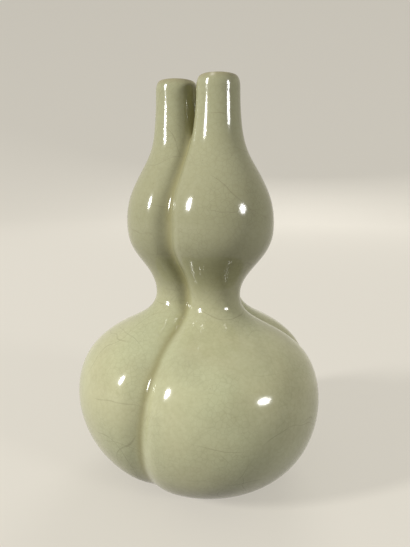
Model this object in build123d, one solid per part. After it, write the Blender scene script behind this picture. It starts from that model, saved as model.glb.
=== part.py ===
from build123d import *

import math
import os

# Three slender double gourds of glazed stoneware, luted side by side into one vase.
# Millimetres, +Z up. The origin is on the vase's axis, on the surface that it stands on.
# Each gourd is thrown in sections: a lower bulb, an upper bulb and a neck, stuck with slip
# at the waist and at the neck joint. Slip also fills the clefts between the gourds.

# Where the gourds and the clefts between them lie round the vase's axis, in degrees from +X
GOURD_BEARINGS = {"left": 180.0, "front": -60.0, "back": 60.0}
CLEFT_BEARINGS = {"front_left": -120.0, "front_back": 0.0, "back_left": 120.0}
SECTOR_ANGLE = 360.0 / len(GOURD_BEARINGS)

# Heights of the sections, stacked from the foot up, and where a belly or a joint lies in its own
FOOT_HEIGHT = 4.0
LOWER_BULB_HEIGHT = 107.0
UPPER_BULB_HEIGHT = 92.0
NECK_LENGTH = 27.0
BELLY_SHARE = 0.44
UPPER_BELLY_SHARE = 0.435
NECK_JOINT_SHARE = 0.848
BELLY_HEIGHT = FOOT_HEIGHT + LOWER_BULB_HEIGHT * BELLY_SHARE
WAIST_HEIGHT = FOOT_HEIGHT + LOWER_BULB_HEIGHT
UPPER_BELLY_HEIGHT = WAIST_HEIGHT + UPPER_BULB_HEIGHT * UPPER_BELLY_SHARE
NECK_JOINT_HEIGHT = WAIST_HEIGHT + UPPER_BULB_HEIGHT * NECK_JOINT_SHARE
NECK_ROOT_HEIGHT = WAIST_HEIGHT + UPPER_BULB_HEIGHT
MOUTH_HEIGHT = NECK_ROOT_HEIGHT + NECK_LENGTH

# Radii of one gourd about its own centre line, and the wall of its neck
UNDERSIDE_RADIUS = 38.0
BELLY_RADIUS = 60.0
WAIST_RADIUS = 15.1
UPPER_BELLY_RADIUS = 31.0
MOUTH_BORE_RADIUS = 8.0
NECK_WALL = 3.7
NECK_SWELL = 0.5
MOUTH_OUTER_RADIUS = MOUTH_BORE_RADIUS + NECK_WALL
NECK_ROOT_RADIUS = MOUTH_OUTER_RADIUS + NECK_SWELL

# How far a gourd's centre line stands from the vase's axis: drawn in at the foot, out at
# the belly, in again at the waist, and leaning outwards from there to the mouth.
# At the waist and the mouth it goes with the radius there, so that waists meet and necks part.
FOOT_OFFSET = 5.8
BELLY_OFFSET = 15.6
WAIST_OFFSET_SHARE = 0.874
MOUTH_OFFSET_SHARE = 1.453
WAIST_OFFSET = WAIST_RADIUS * WAIST_OFFSET_SHARE
MOUTH_OFFSET = MOUTH_OUTER_RADIUS * MOUTH_OFFSET_SHARE

# Walls of the bulbs, and the lip as shares of the neck's wall
WALL = 4.0
LIP_OUTER_SHARE = 0.65
LIP_INNER_SHARE = 0.24

# Luting: slip between the flattened contact walls, and rings of it at the waist and neck joint
SEAM_THICKNESS = 1.5
LOWER_SEAM_RECESS = 3.0
UPPER_SEAM_RECESS = 1.8
SLIP_RING_THICKNESS = 1.5
CLEFT_ROUNDING_SHARE = 0.53
CLEFT_ROUNDING = WAIST_RADIUS * CLEFT_ROUNDING_SHARE

# Foot ring, turned after joining and left bare of glaze
FOOT_SETBACK = 2.0
FOOT_WIDTH = 6.0
FOOT_CHAMFER = 0.8
FOOT_OUTER_RADIUS = UNDERSIDE_RADIUS - FOOT_SETBACK
FOOT_INNER_RADIUS = FOOT_OUTER_RADIUS - FOOT_WIDTH

# Outline of a gourd, as shares of the way up and of the way between the radii at both ends
UNDERSIDE_SHARES = [(0.13, 0.36), (0.34, 0.70), (0.64, 0.92), (1.0, 1.0)]
SHOULDER_SHARES = [(0.25, 0.05), (0.45, 0.185), (0.60, 0.415), (0.72, 0.705), (0.84, 0.93), (1.0, 1.0)]
FLARE_SHARES = [(0.22, 0.132), (0.40, 0.385), (0.68, 0.85), (1.0, 1.0)]
TAPER_SHARES = [(0.23, 0.07), (0.47, 0.335), (0.71, 0.73), (0.86, 0.925), (1.0, 1.0)]
NECK_SHARES = [(0.25, 0.5), (0.5, 0.8), (0.75, 0.95), (1.0, 1.0)]
LOWER_SECTIONS = 11
UPPER_SECTIONS = 16

# One length past every solid, for cuts
OVERRUN = 2.0 * MOUTH_HEIGHT


def stretch(shares, start, end):
    """Points of an outline between two (radius, height) ends."""
    return [
        (start[0] + (end[0] - start[0]) * out, start[1] + (end[1] - start[1]) * up)
        for up, out in shares
    ]


def gourd_outline(side):
    """A gourd's outer line from the foot plane to the mouth: the part on one side of the waist."""
    foot = (UNDERSIDE_RADIUS, FOOT_HEIGHT)
    belly = (BELLY_RADIUS, BELLY_HEIGHT)
    waist = (WAIST_RADIUS, WAIST_HEIGHT)
    upper_belly = (UPPER_BELLY_RADIUS, UPPER_BELLY_HEIGHT)
    root = (NECK_ROOT_RADIUS, NECK_ROOT_HEIGHT)
    mouth = (MOUTH_OUTER_RADIUS, MOUTH_HEIGHT)
    lower = [foot, *stretch(UNDERSIDE_SHARES, foot, belly), *stretch(SHOULDER_SHARES, belly, waist)]
    upper = [*stretch(FLARE_SHARES, waist, upper_belly), *stretch(TAPER_SHARES, upper_belly, root)]
    whole = Spline(*lower, *upper, *stretch(NECK_SHARES, root, mouth))
    return split(whole, Plane((0, WAIST_HEIGHT), z_dir=(0, 1, 0)), keep=side).edge()


def axis_offset(height):
    """Distance of a gourd's centre line from the vase's axis."""
    if height < BELLY_HEIGHT:
        climb = (height - FOOT_HEIGHT) / (BELLY_HEIGHT - FOOT_HEIGHT)
        return FOOT_OFFSET + (BELLY_OFFSET - FOOT_OFFSET) * math.sin(math.pi / 2 * climb)
    if height < WAIST_HEIGHT:
        climb = (height - BELLY_HEIGHT) / (WAIST_HEIGHT - BELLY_HEIGHT)
        return WAIST_OFFSET + (BELLY_OFFSET - WAIST_OFFSET) * (1 + math.cos(math.pi * climb)) / 2
    climb = (height - WAIST_HEIGHT) / (MOUTH_HEIGHT - WAIST_HEIGHT)
    return WAIST_OFFSET + (MOUTH_OFFSET - WAIST_OFFSET) * climb


def skin(outline, sections, depth):
    """A form lofted through circles on a gourd's centre line, set back by depth from its outline."""
    rounds = []
    for step in range(sections):
        place = step / (sections - 1)
        point = outline.position_at(place)
        along = outline.tangent_at(place)
        height = point.Y + depth * along.X
        rounds.append(Plane((axis_offset(height), 0, height)) * Circle(point.X - depth * along.Y))
    return loft(rounds)


def lower_skin(depth):
    """A lower bulb's round form, set back by depth."""
    return skin(gourd_outline(Keep.BOTTOM), LOWER_SECTIONS, depth)


def upper_skin(depth):
    """The round form of an upper bulb and neck, set back by depth."""
    return skin(gourd_outline(Keep.TOP), UPPER_SECTIONS, depth)


def sector(gap):
    """The space of one gourd about +X, set back by gap from its two side planes."""
    half = math.radians(SECTOR_ANGLE / 2)
    side = OVERRUN * math.tan(half)
    plan = make_face(Polyline((0, 0), (OVERRUN, side), (OVERRUN, -side), close=True))
    return extrude(Pos(gap / math.sin(half), 0, 0) * plan, OVERRUN)


def between(low, high):
    """A slab of space between two heights."""
    size = 2 * OVERRUN
    return Pos(0, 0, low) * Box(size, size, high - low, align=(Align.CENTER, Align.CENTER, Align.MIN))


def rounded_contacts(lobe, radius):
    """A lobe with the edges of its flat contact walls rounded into the clefts."""
    flats = [f for f in lobe.faces().filter_by(GeomType.PLANE) if abs(f.normal_at().Z) < math.cos(1)]
    rims = [e for flat in flats for e in flat.edges() if e.geom_type != GeomType.LINE]
    return fillet(rims, radius)


def lower_bulb():
    """A lower bulb before hollowing, and the space inside it."""
    block = lower_skin(0) & sector(SEAM_THICKNESS / 2)
    hollow = lower_skin(WALL) & sector(SEAM_THICKNESS / 2 + WALL)
    return rounded_contacts(block, CLEFT_ROUNDING), hollow


def mouth_bore():
    """The straight bore down a neck, along its leaning centre line, into the upper bulb's hollow."""
    start = NECK_ROOT_HEIGHT - WALL
    lean = Vector(MOUTH_OFFSET - WAIST_OFFSET, 0, MOUTH_HEIGHT - WAIST_HEIGHT)
    mid_bottom = (Align.CENTER, Align.CENTER, Align.MIN)
    place = Plane((axis_offset(start), 0, start), z_dir=lean)
    return place * Cylinder(MOUTH_BORE_RADIUS, OVERRUN, align=mid_bottom)


def upper_bulb():
    """An upper bulb and a neck before hollowing, and the space inside them."""
    whole = upper_skin(0) & sector(SEAM_THICKNESS / 2)
    bulb = rounded_contacts(whole & between(WAIST_HEIGHT, NECK_JOINT_HEIGHT), CLEFT_ROUNDING)
    neck = whole & between(NECK_JOINT_HEIGHT, OVERRUN)
    chamber = upper_skin(WALL) & sector(SEAM_THICKNESS / 2 + WALL)
    hollow = (chamber & between(0, NECK_ROOT_HEIGHT)) + mouth_bore()
    return bulb, neck, hollow


def rounded_lip(neck):
    """A neck with its rim rounded, more on the outside than on the inside."""
    rim = neck.faces().sort_by(Axis.Z)[-1]
    neck = fillet(rim.outer_wire().edges(), NECK_WALL * LIP_OUTER_SHARE)
    rim = neck.faces().sort_by(Axis.Z)[-1]
    return fillet(rim.inner_wires()[0].edges(), NECK_WALL * LIP_INNER_SHARE)


def seam(fill, blocks):
    """Slip in the cleft along +X between two gourds, out to the set back form of both."""
    half = SECTOR_ANGLE / 2
    strip = (Rot(0, 0, half) * fill + Rot(0, 0, -half) * fill) & sector(0)
    for block in blocks:
        strip -= Rot(0, 0, half) * block
        strip -= Rot(0, 0, -half) * block
    return strip


def foot_ring():
    """The ring that the vase stands on, turned under the joined bulbs."""
    section = Pos((FOOT_INNER_RADIUS + FOOT_OUTER_RADIUS) / 2, FOOT_HEIGHT / 2) * Rectangle(
        FOOT_OUTER_RADIUS - FOOT_INNER_RADIUS, FOOT_HEIGHT
    )
    section = chamfer(section.vertices().group_by(Axis.Y)[0], FOOT_CHAMFER)
    return revolve(Plane.XZ * section, Axis.Z)


def export(node, shape):
    """Write one piece."""
    print(node, round(shape.volume), len(shape.solids()), shape.is_valid)
    export_step(shape, os.path.join("parts", node + ".step"))


lower, lower_hollow = lower_bulb()
upper, neck, upper_hollow = upper_bulb()
hollow = lower_hollow + upper_hollow
waist_slip_top = WAIST_HEIGHT + SLIP_RING_THICKNESS
neck_slip_top = NECK_JOINT_HEIGHT + SLIP_RING_THICKNESS

gourd = {
    "lower_bulb": lower - hollow,
    "waist_slip": (upper - hollow) & between(WAIST_HEIGHT, waist_slip_top),
    "upper_bulb": (upper - hollow) & between(waist_slip_top, NECK_JOINT_HEIGHT),
    "neck_slip": (neck - hollow) & between(NECK_JOINT_HEIGHT, neck_slip_top),
    "neck": rounded_lip((neck - hollow) & between(neck_slip_top, OVERRUN)),
}
seams = {
    "lower_seam": seam(lower_skin(LOWER_SEAM_RECESS), [lower]) & between(0, WAIST_HEIGHT),
    "upper_seam": seam(upper_skin(UPPER_SEAM_RECESS), [upper, neck]) & between(WAIST_HEIGHT, MOUTH_HEIGHT),
}

os.makedirs("parts", exist_ok=True)
for side, bearing in GOURD_BEARINGS.items():
    for name, piece in gourd.items():
        export(f"{side}_{name}", Rot(0, 0, bearing) * piece)
for pair, bearing in CLEFT_BEARINGS.items():
    for name, piece in seams.items():
        export(f"{pair}_{name}", Rot(0, 0, bearing) * piece)
export("foot_ring", foot_ring())
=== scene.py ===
from bisect import bisect_right
from math import cos, exp, pi, radians, sin

import bmesh
import bpy
from bpy.props import FloatProperty, FloatVectorProperty, IntProperty, PointerProperty
from mathutils import Matrix, Vector


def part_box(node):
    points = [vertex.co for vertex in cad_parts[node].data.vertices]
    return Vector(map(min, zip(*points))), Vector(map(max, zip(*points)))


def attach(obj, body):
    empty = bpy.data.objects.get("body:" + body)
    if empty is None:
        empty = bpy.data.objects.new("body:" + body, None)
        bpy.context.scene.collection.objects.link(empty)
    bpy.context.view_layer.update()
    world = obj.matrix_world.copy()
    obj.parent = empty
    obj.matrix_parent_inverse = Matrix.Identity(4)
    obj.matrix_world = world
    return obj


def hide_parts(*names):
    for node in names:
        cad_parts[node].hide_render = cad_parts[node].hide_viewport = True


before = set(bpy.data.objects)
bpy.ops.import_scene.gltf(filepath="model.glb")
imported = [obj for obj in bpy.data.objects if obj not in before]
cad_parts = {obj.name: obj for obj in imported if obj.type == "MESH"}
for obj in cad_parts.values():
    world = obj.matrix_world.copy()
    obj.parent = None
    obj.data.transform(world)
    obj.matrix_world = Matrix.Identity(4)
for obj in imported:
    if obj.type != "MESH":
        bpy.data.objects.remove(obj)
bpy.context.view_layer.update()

bl_info = {
    "name": "Joined Gourd Vase",
    "version": (1, 0, 0),
    "blender": (4, 5, 0),
    "location": "View3D > Sidebar > Vase",
    "description": "Three double gourds joined side by side, in crackled celadon glaze on one bare foot",
    "category": "Add Mesh",
}

MM = 0.001
FOOT_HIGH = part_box("foot_ring")[1]
WELD = 1e-6
UP = Vector((0, 0, 1))

# Each gourd's bearing round the vase's axis in degrees from +X, and the seam of slip that it takes in
GOURDS = {
    "left_gourd": (180, "back_left"),
    "front_gourd": (-60, "front_left"),
    "back_gourd": (60, "front_back"),
}
SECTIONS = ("lower_bulb", "waist_slip", "upper_bulb", "neck_slip", "neck")
SEAMS = ("lower_seam", "upper_seam")

# Points that pull the outside line of a gourd, as radius and height in mm: underside, full
# lower bulb, waist, upper bulb, neck, and over the rounded lip into the mouth
OUTSIDE = (
    (0, 4), (20, 4), (34, 4), (39, 4), (41.5, 5), (44, 6.5), (50.3, 12), (56.3, 23), (59, 35.5),
    (60.3, 48), (59.5, 61), (55.5, 74), (47, 83.5), (36, 90.5), (24, 96), (14, 104.5), (15.5, 119),
    (23.8, 129.5), (31.6, 140), (32.2, 154), (30, 166), (24, 178), (17.3, 188.5), (14.6, 196),
    (13.4, 202), (12.7, 207.5), (12.2, 213), (11.9, 218), (11.8, 222), (11.8, 225), (11.4, 227.6),
    (10.5, 229.4), (9.4, 230), (8.5, 229.7), (8, 228),
)
# The same for the inside, from the mouth down to the floor of the lower bulb
INSIDE = (
    (8, 228), (8, 222), (8, 216), (8.3, 212), (7.5, 203), (10.5, 190.5), (17.5, 180), (24.5, 168.5),
    (27, 157), (27.5, 142.5), (20.5, 132.5), (12.5, 122), (10, 109), (15, 96.5), (27, 90.5), (38, 85),
    (49, 77), (54.5, 65), (56.5, 52.5), (55.5, 40), (52.5, 27), (47, 16), (40, 10), (36.5, 8),
    (30, 7.5), (15, 7.5), (0, 7.5),
)
# Points that pull a gourd's centre line, as distance from the vase's axis and height in mm
CENTRE = (
    (6, 4), (9, 14), (16, 35), (15.5, 68), (12.5, 100), (14, 132.5), (15, 165), (15.5, 197.5), (16, 219),
    (16, 230),
)
# The clefts by height, in mm: half the width of the glaze that rounds the bottom, then depth
# and half width of the groove between the rounded shoulders
CLEFT_FLOOR = ((5, 4), (5, 80), (4, 98), (3, 111), (3.5, 125), (4, 150), (3.5, 178), (2.5, 190), (2, 230))
CLEFT_DEPTH = (
    (1.5, 4), (2.4, 20), (3.6, 50), (4.4, 78), (2.6, 94), (0.9, 109), (2, 125), (3.4, 150), (2.6, 178),
    (0.8, 190), (0, 198), (0, 230),
)
CLEFT_WIDTH = (
    (7, 4), (8, 20), (8, 50), (7, 80), (4, 98), (3, 111), (4, 125), (6, 150), (5, 178), (2.5, 190),
    (2, 230),
)
# The gourds stand a little askew: turn about the vase's axis in degrees, and shift along
# +X in mm, each by height in mm
ASKEW = ((-2, 0), (-2, 25), (2, 80), (1, 95), (-4, 116), (-6, 140), (-6, 176), (-4, 204), (-4, 230))
LEAN = ((0, 0), (0, 118), (1.2, 146), (1.2, 178), (0.2, 204), (0, 230))
# Small chip in the front lip: its place, its depth and its reach in mm
CHIP = (Vector((3.5, -25, 229)) * MM, 0.5 * MM, 1.2 * MM)
# Heights in mm at which the flat contact walls are divided, so that they follow the turn
WALL_CUTS = range(20, 200, 15)
# Height above which the gourds stand free of each other
NECKS = 198 * MM
# Depth of the flat underside that is left bare of glaze
UNDERSIDE = 0.6 * MM
# Place of the bare clay among a gourd's materials
BARE = 1
# Steepest side of a cleft that its bottom is rounded to
STEEPEST = 1.6
# Skin kept beyond a contact plane for the cut
CUT_MARGIN = 3 * MM
# Turns of the outline as degrees and steps, from the back: finest where neighbours press
TURNS = ((20, 5), (110, 90), (100, 26), (110, 90), (20, 5))
# Steps round the foot ring and the floor, and up the curve from the floor to the backdrop
FOOT_STEPS = 160
FLOOR_STEPS = 96
SWEEP_STEPS = 16

# Directions out of a gourd through its two contact planes, and outwards along them, with the gourd
# along +X
CLEFT_NORMALS = tuple(Vector((cos(radians(a)), sin(radians(a)), 0)) for a in (150, -150))
CLEFT_LINES = tuple(Vector((cos(radians(a)), sin(radians(a)), 0)) for a in (60, -60))

# Sets of crackle lines: direction across them, spacing as a multiple, and size in mm of the patches
# that they show in
CRACKLE = (((0.1, 0.05, 1), 1.0, 31), ((0.75, 0.45, 0.5), 1.5, 25), ((-0.6, 0.7, 0.4), 1.8, 35))

# Lamps: direction from the vase, width and height in metres, and whether the glaze mirrors the lamp
LAMPS = {
    "left": ((-0.80, -0.40, 0.38), (0.34, 0.76), True),
    "right": ((0.74, -0.58, 0.31), (0.70, 0.55), True),
    "back": ((0.20, 0.90, 0.50), (1.60, 1.60), False),
}


def linear(code):
    """Linear red, green, blue and alpha of an sRGB hex colour."""
    parts = [int(code[i:i + 2], 16) / 255 for i in (1, 3, 5)]
    return [p / 12.92 if p <= 0.04045 else ((p + 0.055) / 1.055) ** 2.4 for p in parts] + [1.0]


def length(name, description, default):
    """Length property in metres."""
    return FloatProperty(name=name, description=description, default=default, min=0, unit="LENGTH")


def tint(name, description, code):
    """Colour property from an sRGB hex colour."""
    return FloatVectorProperty(
        name=name, description=description, default=linear(code), size=4, subtype="COLOR", min=0, max=1
    )


class GourdSettings(bpy.types.PropertyGroup):
    """Sizes of the gourds"""

    outline_steps: IntProperty(
        name="Outline steps", description="Steps between the outline's points", default=6, min=2
    )
    contact_wall: length("Contact wall", "Thickness of each wall where two gourds touch", 4.75 * MM)
    inner_rounding: length("Inner rounding", "Rounding of the hollow against the contact wall", 3 * MM)
    # Width along the clefts of the darker olive, which is partly pooled glaze and partly painted shade
    pool_and_shade_width: length("Pool and shade width", "Distance from a cleft over which the glaze pools", 2.6 * MM)


class GlazeSettings(bpy.types.PropertyGroup):
    """Colours and sizes of the glaze"""

    body: tint("Glaze", "Celadon over most of the vase", "#C1BE97")
    green: tint("Green patches", "Celadon where the glaze lies thicker", "#BABB95")
    # Painted shade: a darker tone over the upper bulbs, for light that falls off upwards
    upper: tint("Upper painted shade", "Celadon on the upper bulbs", "#A5A381")
    # Darker olive in the clefts: partly glaze run together there, partly painted shade
    pooled_and_shaded: tint("Pooled glaze and shade", "Celadon run together in the clefts", "#8A8458")
    thin: tint("Thin glaze", "Celadon drawn thin over the lips and the foot", "#958B69")
    crackle: tint("Crackle lines", "Stain in the crackle", "#6E6549")
    speck: tint("Specks", "Iron specks in the glaze", "#5A4C36")
    chip: tint("Chip", "Bare body in the chipped lip", "#D8D3BC")
    crackle_gap: length("Crackle", "Distance between long crackle lines", 26 * MM)
    crackle_width: length("Crackle width", "How far a crackle line fades to each side", 0.32 * MM)
    crazing_cell: length("Crazing", "Distance between fine crazing lines", 2.7 * MM)
    speck_gap: length("Speck spacing", "Distance between places where a speck may lie", 5 * MM)


class FootSettings(bpy.types.PropertyGroup):
    """Sizes and colours of the foot ring"""

    outer: length("Outer radius", "Outside radius of the foot ring", FOOT_HIGH.x)
    width: length("Width", "Width of the foot ring", 6 * MM)
    height: length("Height", "Height of the foot ring", FOOT_HIGH.z)
    chamfer: length("Chamfer", "Bevel of the foot ring's lower edges", 0.8 * MM)
    groove: length("Groove", "Depth of the turning line round the foot ring", 0.25 * MM)
    clay: tint("Clay", "Bare fired stoneware", "#6B4632")
    burnt: tint("Burnt clay", "Stoneware burnt darker", "#452C20")


class StageSettings(bpy.types.PropertyGroup):
    """Floor, lamps and camera"""

    floor: tint("Floor", "Floor and backdrop", "#DAD5C9")
    shade: tint("Floor shade", "Floor and backdrop as the lamps show on them", "#8A867E")
    bounce: tint("Bounce", "Floor and backdrop as they light the vase", "#45433D")
    glow: FloatProperty(
        name="Glow", description="Brightness of the floor and backdrop by themselves", default=0.66, min=0
    )
    room: length("Room", "Distance from the vase to the backdrop, and the backdrop's height", 4.5)
    left_power: FloatProperty(
        name="Left lamp", description="Power of the left lamp", default=92, min=0, unit="POWER"
    )
    right_power: FloatProperty(
        name="Right lamp", description="Power of the right lamp", default=32, min=0, unit="POWER"
    )
    back_power: FloatProperty(
        name="Back lamp", description="Power of the lamp behind", default=40, min=0, unit="POWER"
    )
    lamp_distance: length("Lamp distance", "Distance from the vase to the lamps", 3)
    sky: tint("Sky colour", "Colour of the even light", "#FFFDF8")
    sky_strength: FloatProperty(name="Sky", description="Strength of the even light", default=0.52, min=0)
    aim: length("Aim", "Height on the vase that the lamps point at", 0.12)
    camera_back: length("Camera distance", "Distance of the camera in front of the vase's axis", 0.2759)
    camera_height: length("Camera height", "Height of the camera", 0.170)
    camera_tilt: FloatProperty(
        name="Camera tilt", description="Tilt downwards", default=0.176, unit="ROTATION"
    )
    camera_turn: FloatProperty(
        name="Camera turn", description="Turn to the left", default=-0.003, unit="ROTATION"
    )
    camera_roll: FloatProperty(
        name="Camera roll", description="Roll about the line of sight", default=0.008, unit="ROTATION"
    )
    lens: FloatProperty(name="Lens", description="Focal length", default=30.71, min=1, unit="CAMERA")


class VaseSettings(bpy.types.PropertyGroup):
    """All settings of the vase"""

    gourd: PointerProperty(type=GourdSettings, name="Gourds", description="Shape of the gourds")
    glaze: PointerProperty(type=GlazeSettings, name="Glaze", description="Finish of the gourds")
    foot: PointerProperty(type=FootSettings, name="Foot", description="Foot ring")
    stage: PointerProperty(type=StageSettings, name="Stage", description="Floor and light")


def add(tree, kind, inputs=None, **settings):
    """Adds one node with its settings, and fills or links its inputs."""
    node = tree.nodes.new(kind)
    for name, value in settings.items():
        setattr(node, name, value)
    for key, value in (inputs or {}).items():
        if isinstance(value, bpy.types.NodeSocket):
            tree.links.new(value, node.inputs[key])
        else:
            node.inputs[key].default_value = value
    return node


def new_material(name):
    """Empty node material, with its tree and Object coordinates."""
    material = bpy.data.materials.new(name)
    material.use_nodes = True
    tree = material.node_tree
    tree.nodes.clear()
    return material, tree, add(tree, "ShaderNodeTexCoord").outputs["Object"]


def drawn_line(points, steps):
    """Mesh of edges along the smooth line that the points pull, at the back of the gourd's own axis."""
    curve = bpy.data.curves.new("line", "CURVE")
    curve.dimensions = "3D"
    curve.resolution_u = steps
    spline = curve.splines.new("NURBS")
    spline.points.add(len(points) - 1)
    for point, (across, up) in zip(spline.points, points):
        point.co = (-across * MM, 0, up * MM, 1)
    spline.order_u = 4
    spline.use_endpoint_u = True
    holder = bpy.data.objects.new("line", curve)
    line = bpy.data.meshes.new_from_object(holder)
    bpy.data.objects.remove(holder)
    bpy.data.curves.remove(curve)
    return line


def at_height(rows, height):
    """Value at a height in a list of value and height pairs, straight between them."""
    index = min(max(bisect_right([up for value, up in rows], height), 1), len(rows) - 1)
    (low_value, low), (high_value, high) = rows[index - 1:index + 1]
    share = min(max((height - low) / (high - low), 0), 1)
    return low_value + (high_value - low_value) * share


def sunk(point, centre, radius):
    """Where a point of the outside lies once the glaze has rounded the cleft beside it."""
    side = int(point.y < 0)
    normal, line = CLEFT_NORMALS[side], CLEFT_LINES[side]
    depth = -abs(point.dot(normal))
    gap = -centre * CLEFT_LINES[0].y
    middle = centre * CLEFT_LINES[0].x
    if point.dot(normal) > CUT_MARGIN or point.dot(line) < middle:
        return point
    height = point.z / MM
    floor = at_height(CLEFT_FLOOR, height) * MM
    groove = at_height(CLEFT_DEPTH, height) * MM * exp(-(depth / (at_height(CLEFT_WIDTH, height) * MM)) ** 2)
    chord = max(radius ** 2 - gap ** 2, 0) ** 0.5
    reach = max(radius ** 2 - (depth - gap) ** 2, 0) ** 0.5
    slope = min(-gap / chord, STEEPEST) if chord else STEEPEST
    fill = slope * max(depth + floor, 0) ** 2 / (2 * floor)
    near = min((point.dot(line) - middle) / floor, 1)
    return point + line * ((middle + reach - point.dot(line) + fill - groove) * near)


def pressed(point, gap, softness):
    """Where a point of the hollow lies once its gourd is pressed against its two neighbours."""
    moved = point.copy()
    for normal in CLEFT_NORMALS if point.z < NECKS else ():
        over = point.dot(normal) - gap
        if over > -softness:
            goal = min(over, 0) - max(softness - abs(over), 0) ** 2 / (4 * softness)
            moved -= normal * (over - goal)
    return moved


def turned_skin(points, steps):
    """Skin turned from a line of pull points, on the gourd's own upright axis."""
    line = drawn_line(points, steps)
    bm = bmesh.new()
    bm.from_mesh(line)
    bpy.data.meshes.remove(line)
    ring = bm.verts[:] + bm.edges[:]
    for degrees, count in TURNS:
        turned = bmesh.ops.spin(bm, geom=ring, axis=UP, angle=radians(degrees), steps=count)
        ring = turned["geom_last"]
    bmesh.ops.remove_doubles(bm, verts=bm.verts, dist=WELD)
    return bm


def bow(bm, centre, shape):
    """Bows a turned skin along its gourd's centre line, and shapes it against the neighbours."""
    for vert in bm.verts:
        offset = at_height(centre, vert.co.z)
        vert.co = shape(vert.co + Vector((offset, 0, 0)), offset, vert.co.xy.length)


def close_cleft(bm, normal):
    """Cuts a skin off at one contact plane and closes it with a flat wall."""
    parts = bm.verts[:] + bm.edges[:] + bm.faces[:]
    cut = bmesh.ops.bisect_plane(
        bm, geom=parts, dist=WELD, plane_co=(0, 0, 0), plane_no=normal, clear_outer=True, use_snap_center=True
    )
    edges = [part for part in cut["geom_cut"] if isinstance(part, bmesh.types.BMEdge)]
    for face in bmesh.ops.contextual_create(bm, geom=edges)["faces"]:
        face.material_index = BARE


def divide_walls(bm):
    """Divides the flat contact walls level by level."""
    for height in WALL_CUTS:
        walls = {face for face in bm.faces if face.material_index == BARE}
        edges = {edge for face in walls for edge in face.edges}
        verts = {vert for face in walls for vert in face.verts}
        bmesh.ops.bisect_plane(
            bm, geom=[*walls, *edges, *verts], dist=WELD, plane_co=(0, 0, height * MM), plane_no=UP
        )


def depth_in_cleft(point):
    """Signed distance of a point from the nearer contact plane, negative inside the gourd."""
    return max(point.dot(normal) for normal in CLEFT_NORMALS)


def finish_piece(bm, name, materials, nodes):
    """Object at the origin from a finished bmesh, riding on the vase in place of CAD nodes."""
    mesh = bpy.data.meshes.new(name)
    bm.to_mesh(mesh)
    bm.free()
    for material in materials:
        mesh.materials.append(material)
    piece = bpy.data.objects.new(name, mesh)
    bpy.context.scene.collection.objects.link(piece)
    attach(piece, "root")
    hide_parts(*nodes)
    return piece


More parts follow.
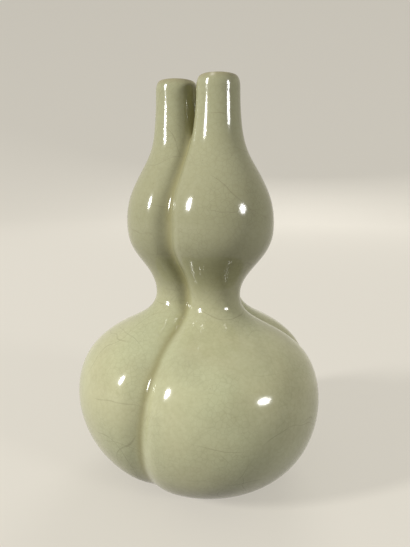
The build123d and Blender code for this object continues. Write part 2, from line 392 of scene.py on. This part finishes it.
def celadon_glaze(settings):
    """Crackled celadon glaze, fired glossy on stoneware."""
    # The eye sees a glassy grey-green skin with long stained crackle lines that mostly run round
    # the gourds, a net of finer crazing, iron specks, and a darker olive in the clefts that is partly glaze
    # run together there and partly painted shade. Painted shade also darkens the upper bulbs, the lips
    # are browner where the glaze is thin, and there are browner patches towards the bottom.
    material, tree, place = new_material("celadon_glaze_crackled")
    height = add(tree, "ShaderNodeSeparateXYZ", {0: place}).outputs["Z"]
    # Coordinates that wander by up to half of 30 mm each way, which bends the long crackle lines
    wander = add(tree, "ShaderNodeTexNoise", {"Vector": place, "Scale": 1 / (38 * MM), "Detail": 1.5})
    offset = add(
        tree, "ShaderNodeVectorMath", {0: wander.outputs["Color"], 1: (0.5,) * 3}, operation="SUBTRACT"
    )
    bent = add(
        tree,
        "ShaderNodeVectorMath",
        {0: offset.outputs[0], 1: (30 * MM,) * 3, 2: place},
        operation="MULTIPLY_ADD",
    ).outputs[0]

    def cloud(size, low, high, detail=2.0):
        """Patches of a size, from none at the low noise value to full at the high one."""
        noise = add(tree, "ShaderNodeTexNoise", {"Vector": place, "Scale": 1 / size, "Detail": detail})
        return add(
            tree, "ShaderNodeMapRange", {"Value": noise.outputs["Fac"], "From Min": low, "From Max": high}
        ).outputs["Result"]

    def stained(distance, width, patches):
        """Lines where a distance is under a width, broken up into patches."""
        line = add(
            tree, "ShaderNodeMapRange", {"Value": distance, "From Max": width, "To Min": 1.0, "To Max": 0.0},
            interpolation_type="SMOOTHSTEP",
        ).outputs["Result"]
        return add(tree, "ShaderNodeMath", {0: line, 1: patches}, operation="MULTIPLY").outputs[0]

    def band(low, high):
        """Share that rises from one height to another."""
        return add(
            tree, "ShaderNodeMapRange", {"Value": height, "From Min": low, "From Max": high},
            interpolation_type="SMOOTHSTEP",
        ).outputs["Result"]

    # Real crackle is about 0.15 mm wide: it is drawn twice as wide so that it shows
    cracks = []
    for way, gap, patch in CRACKLE:
        along = add(tree, "ShaderNodeVectorMath", {0: bent, 1: way}, operation="DOT_PRODUCT").outputs["Value"]
        spacing = settings.crackle_gap * gap
        fold = add(tree, "ShaderNodeMath", {0: along, 1: spacing / 2}, operation="PINGPONG")
        cracks.append(stained(fold.outputs[0], settings.crackle_width, cloud(patch * MM, 0.48, 0.62)))
    net = add(
        tree,
        "ShaderNodeTexVoronoi",
        {"Vector": place, "Scale": 1 / settings.crazing_cell},
        feature="DISTANCE_TO_EDGE",
    )
    crazing = stained(net.outputs["Distance"], 0.09, cloud(24 * MM, 0.25, 0.65))
    dots = add(tree, "ShaderNodeTexVoronoi", {"Vector": place, "Scale": 1 / settings.speck_gap})
    chosen = add(tree, "ShaderNodeMath", {0: dots.outputs["Color"], 1: 0.6}, operation="GREATER_THAN")
    specks = stained(dots.outputs["Distance"], 0.08, chosen.outputs[0])
    # Browner patches towards the bottom, fading out between 5 and 26 mm up
    foot = add(tree, "ShaderNodeMath", {0: 1.0, 1: band(5 * MM, 26 * MM)}, operation="SUBTRACT").outputs[0]
    bottom_browning = add(tree, "ShaderNodeMath", {0: foot, 1: cloud(13 * MM, 0.35, 0.7)}, operation="MULTIPLY")
    # Share of pooled glaze and painted shade in the clefts, 1 on a contact plane
    pool_and_shade = add(tree, "ShaderNodeAttribute", attribute_name="pooling").outputs["Fac"]
    chip = add(tree, "ShaderNodeAttribute", attribute_name="chipped").outputs["Fac"]
    tone = settings.body
    # Layers over the body from the lowest: where, how strong and which colour
    for share, strength, over in (
        (cloud(46 * MM, 0.35, 0.65), 1, settings.green),
        (cloud(21 * MM, 0.5, 0.75), 0.22, settings.thin),
        # Painted shade darkens the upper bulbs from the waist up; the necks then go a little back towards the
        # green
        (band(88 * MM, 122 * MM), 0.95, settings.upper),
        (band(176 * MM, 212 * MM), 0.3, settings.green),
        (cloud(2.4 * MM, 0.35, 0.75, 3.0), 0.16, settings.pooled_and_shaded),
        # Pooled glaze and painted shade in the clefts
        (pool_and_shade, 0.75, settings.pooled_and_shaded),
        (bottom_browning.outputs[0], 0.6, settings.thin),
        (band(226 * MM, 229.6 * MM), 0.7, settings.thin),
        (crazing, 0.15, settings.crackle),
        *((crack, 0.3, settings.crackle) for crack in cracks),
        (specks, 0.5, settings.speck),
        (chip, 0.8, settings.chip),
    ):
        part = add(tree, "ShaderNodeMath", {0: share, 1: strength}, operation="MULTIPLY").outputs[0]
        tone = add(tree, "ShaderNodeMix", {0: part, 6: tone, 7: over}, data_type="RGBA").outputs[2]

    # Soft waves of the thrown wall, throwing lines 2.4 mm apart on the necks, and orange peel
    turns = add(tree, "ShaderNodeMath", {0: height, 1: 2 * pi / (2.4 * MM)}, operation="MULTIPLY")
    rings = add(tree, "ShaderNodeMath", {0: turns.outputs[0]}, operation="SINE")
    thrown = band(192 * MM, 206 * MM)
    necks = add(tree, "ShaderNodeMath", {0: rings.outputs[0], 1: thrown}, operation="MULTIPLY")
    relief = cloud(22 * MM, 0.0, 1.0)
    for part, strength in ((cloud(1.6 * MM, 0.0, 1.0), 0.022), (necks.outputs[0], 0.012)):
        relief = add(
            tree, "ShaderNodeMath", {0: part, 1: strength, 2: relief}, operation="MULTIPLY_ADD"
        ).outputs[0]
    bump = add(tree, "ShaderNodeBump", {"Height": relief, "Strength": 0.25, "Distance": 1.2 * MM})
    shader = add(
        tree,
        "ShaderNodeBsdfPrincipled",
        {"Base Color": tone, "Roughness": 0.13, "IOR": 1.5, "Normal": bump.outputs["Normal"]},
    )
    add(tree, "ShaderNodeOutputMaterial", {"Surface": shader.outputs["BSDF"]})
    return material


def bare_stoneware(settings):
    """Stoneware turned on the wheel and fired without glaze."""
    # The eye sees a dull dark red-brown clay with pale and dark grit and rings from turning.
    material, tree, place = new_material("stoneware_turned_bare")
    grit = add(tree, "ShaderNodeTexNoise", {"Vector": place, "Scale": 1 / (0.9 * MM), "Detail": 3.0})
    burn = add(tree, "ShaderNodeTexNoise", {"Vector": place, "Scale": 1 / (14 * MM), "Detail": 2.0})
    mixed = add(
        tree, "ShaderNodeMath", {0: grit.outputs["Fac"], 1: burn.outputs["Fac"]}, operation="MULTIPLY"
    )
    share = add(tree, "ShaderNodeMapRange", {"Value": mixed.outputs[0], "From Min": 0.15, "From Max": 0.36})
    tone = add(
        tree,
        "ShaderNodeMix",
        {0: share.outputs["Result"], 6: settings.burnt, 7: settings.clay},
        data_type="RGBA",
    )
    bump = add(tree, "ShaderNodeBump", {"Height": grit.outputs["Fac"], "Strength": 0.6, "Distance": 0.3 * MM})
    shader = add(
        tree,
        "ShaderNodeBsdfPrincipled",
        {"Base Color": tone.outputs[2], "Roughness": 0.82, "Normal": bump.outputs["Normal"]},
    )
    add(tree, "ShaderNodeOutputMaterial", {"Surface": shader.outputs["BSDF"]})
    return material


def gourd_mesh(settings):
    """One gourd along +X as a closed shell: outside, lip, inside and contact walls."""
    line = drawn_line(CENTRE, settings.outline_steps)
    centre = [(-vert.co.x, vert.co.z) for vert in line.vertices]
    bpy.data.meshes.remove(line)
    bm = turned_skin(OUTSIDE, settings.outline_steps)
    bow(bm, centre, sunk)
    for normal in CLEFT_NORMALS:
        close_cleft(bm, normal)
    divide_walls(bm)
    pooling = bm.verts.layers.float.new("pooling")
    # Pooled glaze and painted shade along the clefts: 1 on a contact plane, fading with distance from it
    for vert in bm.verts:
        vert[pooling] = exp(-(depth_in_cleft(vert.co) / settings.pool_and_shade_width) ** 2)

    inside = turned_skin(INSIDE, settings.outline_steps // 2)
    bow(inside, centre, lambda point, *_: pressed(point, -settings.contact_wall, settings.inner_rounding))
    mesh = bpy.data.meshes.new("inside")
    inside.to_mesh(mesh)
    inside.free()
    bm.from_mesh(mesh)
    bpy.data.meshes.remove(mesh)
    bmesh.ops.remove_doubles(bm, verts=bm.verts, dist=WELD)
    bmesh.ops.recalc_face_normals(bm, faces=bm.faces)
    for face in bm.faces:
        face.smooth = True
    for edge in bm.edges:
        edge.smooth = len({face.material_index for face in edge.link_faces}) == 1
    for face in bm.faces:
        if max(vert.co.z for vert in face.verts) < FOOT_HIGH.z + UNDERSIDE:
            face.material_index = BARE
    return bm


class VASE_OT_gourds(bpy.types.Operator):
    """Builds the three joined double gourds"""

    bl_idname = "vase.gourds"
    bl_label = "Gourds"

    def execute(self, context):
        settings = context.scene.joined_gourd_vase
        materials = (celadon_glaze(settings.glaze), bare_stoneware(settings.foot))
        shell = gourd_mesh(settings.gourd)
        for name, (bearing, pair) in GOURDS.items():
            side = name.split("_")[0]
            bm = shell.copy()
            chipped = bm.verts.layers.float.new("chipped")
            place, depth, reach = CHIP
            for vert in bm.verts:
                height = vert.co.z / MM
                vert.co.rotate(Matrix.Rotation(radians(bearing + at_height(ASKEW, height)), 3, "Z"))
                vert.co.x += at_height(LEAN, height) * MM
                vert[chipped] = exp(-((vert.co - place).length / reach) ** 2)
                vert.co.z -= depth * vert[chipped]
            nodes = [f"{side}_{section}" for section in SECTIONS] + [f"{pair}_{seam}" for seam in SEAMS]
            finish_piece(bm, name, materials, nodes)
        shell.free()
        return {"FINISHED"}


class VASE_OT_foot_ring(bpy.types.Operator):
    """Builds the turned foot ring"""

    bl_idname = "vase.foot_ring"
    bl_label = "Foot ring"

    def execute(self, context):
        settings = context.scene.joined_gourd_vase.foot
        outer, inner, top = settings.outer, settings.outer - settings.width, settings.height
        chamfer, groove = settings.chamfer, settings.groove
        corners = (
            (inner, chamfer), (inner + chamfer, 0), (outer - chamfer, 0), (outer, chamfer),
            (outer, top / 2 - groove), (outer - groove, top / 2), (outer, top / 2 + groove),
            (outer, top), (inner, top),
        )
        bm = bmesh.new()
        verts = [bm.verts.new((across, 0, up)) for across, up in corners]
        edges = [bm.edges.new((verts[i - 1], verts[i])) for i in range(len(verts))]
        bmesh.ops.spin(bm, geom=verts + edges, axis=UP, angle=2 * pi, steps=FOOT_STEPS, use_merge=True)
        bmesh.ops.remove_doubles(bm, verts=bm.verts, dist=WELD)
        bmesh.ops.recalc_face_normals(bm, faces=bm.faces)
        clay = bpy.data.materials["stoneware_turned_bare"]
        finish_piece(bm, "foot_ring_turned", (clay,), ("foot_ring",))
        return {"FINISHED"}


class VASE_OT_stage(bpy.types.Operator):
    """Builds the floor, the light and the camera"""

    bl_idname = "vase.stage"
    bl_label = "Stage"

    def execute(self, context):
        settings = context.scene.joined_gourd_vase.stage
        self.build_floor(settings)
        for name, (way, size, mirrored) in LAMPS.items():
            light = bpy.data.lights.new(f"{name}_lamp", "AREA")
            light.shape = "ELLIPSE"
            light.size, light.size_y = size
            light.energy = getattr(settings, f"{name}_power")
            lamp = bpy.data.objects.new(f"{name}_lamp", light)
            lamp.location = UP * settings.aim + Vector(way).normalized() * settings.lamp_distance
            lamp.rotation_euler = Vector(way).to_track_quat("Z", "Y").to_euler()
            lamp.visible_glossy = mirrored
            context.scene.collection.objects.link(lamp)

        world = bpy.data.worlds.new("even_light")
        world.use_nodes = True
        background = world.node_tree.nodes["Background"]
        background.inputs["Color"].default_value = settings.sky
        background.inputs["Strength"].default_value = settings.sky_strength
        context.scene.world = world

        lens = bpy.data.cameras.new("camera")
        lens.lens = settings.lens
        lens.clip_start = 10 * MM
        camera = bpy.data.objects.new("camera", lens)
        camera.matrix_world = (
            Matrix.Translation((0, -settings.camera_back, settings.camera_height))
            @ Matrix.Rotation(settings.camera_turn, 4, "Z")
            @ Matrix.Rotation(pi / 2 - settings.camera_tilt, 4, "X")
            @ Matrix.Rotation(settings.camera_roll, 4, "Z")
        )
        context.scene.collection.objects.link(camera)
        context.scene.camera = camera
        context.scene.view_settings.view_transform = "Standard"
        return {"FINISHED"}

    def build_floor(self, settings):
        """Round floor that sweeps up into a backdrop on all sides."""
        # The eye sees matt paper of one even pale tone, with the vase's soft shadow on it
        material, tree, _ = new_material("paper_matt_pale")
        path = add(tree, "ShaderNodeLightPath")
        seen = path.outputs["Is Camera Ray"]
        for kind in ("Is Glossy Ray", "Is Transmission Ray"):
            seen = add(
                tree, "ShaderNodeMath", {0: seen, 1: path.outputs[kind]}, operation="MAXIMUM"
            ).outputs[0]
        tone = add(tree, "ShaderNodeMix", {0: seen, 6: settings.bounce, 7: settings.shade}, data_type="RGBA")
        glow = add(tree, "ShaderNodeMath", {0: seen, 1: settings.glow}, operation="MULTIPLY")
        shader = add(
            tree,
            "ShaderNodeBsdfPrincipled",
            {
                "Base Color": tone.outputs[2],
                "Roughness": 0.9,
                "Emission Color": settings.floor,
                "Emission Strength": glow.outputs[0],
            },
        )
        add(tree, "ShaderNodeOutputMaterial", {"Surface": shader.outputs["BSDF"]})
        bm = bmesh.new()
        corners = ((0, 0), (settings.room, 0), (settings.room, settings.room))
        verts = [bm.verts.new((across, 0, up)) for across, up in corners]
        edges = [bm.edges.new(verts[i:i + 2]) for i in range(len(verts) - 1)]
        bmesh.ops.spin(bm, geom=verts + edges, axis=UP, angle=2 * pi, steps=FLOOR_STEPS, use_merge=True)
        bmesh.ops.remove_doubles(bm, verts=bm.verts, dist=WELD)
        rim = [e for e in bm.edges if all(v.co.z == 0 and v.co.length > settings.room / 2 for v in e.verts)]
        bmesh.ops.bevel(
            bm,
            geom=rim,
            offset=settings.room / 2,
            affect="EDGES",
            segments=SWEEP_STEPS,
            profile=0.5,
            material=-1,
        )
        bmesh.ops.recalc_face_normals(bm, faces=bm.faces)
        bmesh.ops.reverse_faces(bm, faces=bm.faces)
        for face in bm.faces:
            face.smooth = True
        mesh = bpy.data.meshes.new("floor")
        bm.to_mesh(mesh)
        bm.free()
        mesh.materials.append(material)
        floor = bpy.data.objects.new("floor", mesh)
        bpy.context.scene.collection.objects.link(floor)


class VASE_PT_build(bpy.types.Panel):
    """Lists the vase's operators with their settings"""

    bl_label = "Joined Gourd Vase"
    bl_space_type = "VIEW_3D"
    bl_region_type = "UI"
    bl_category = "Vase"

    def draw(self, context):
        settings = context.scene.joined_gourd_vase
        for operator, groups in (
            (VASE_OT_gourds, (settings.gourd, settings.glaze)),
            (VASE_OT_foot_ring, (settings.foot,)),
            (VASE_OT_stage, (settings.stage,)),
        ):
            self.layout.operator(operator.bl_idname)
            for group in groups:
                for name in group.__annotations__:
                    self.layout.prop(group, name)


CLASSES = (
    GourdSettings,
    GlazeSettings,
    FootSettings,
    StageSettings,
    VaseSettings,
    VASE_OT_gourds,
    VASE_OT_foot_ring,
    VASE_OT_stage,
    VASE_PT_build,
)


def register():
    """Registers the classes and hangs the settings on the scene."""
    for cls in CLASSES:
        bpy.utils.register_class(cls)
    bpy.types.Scene.joined_gourd_vase = PointerProperty(type=VaseSettings)


def unregister():
    """Takes away what register added."""
    del bpy.types.Scene.joined_gourd_vase
    for cls in reversed(CLASSES):
        bpy.utils.unregister_class(cls)


def main():
    """Builds the vase and its stage."""
    register()
    bpy.ops.vase.gourds()
    bpy.ops.vase.foot_ring()
    bpy.ops.vase.stage()


if __name__ == "__main__":
    main()
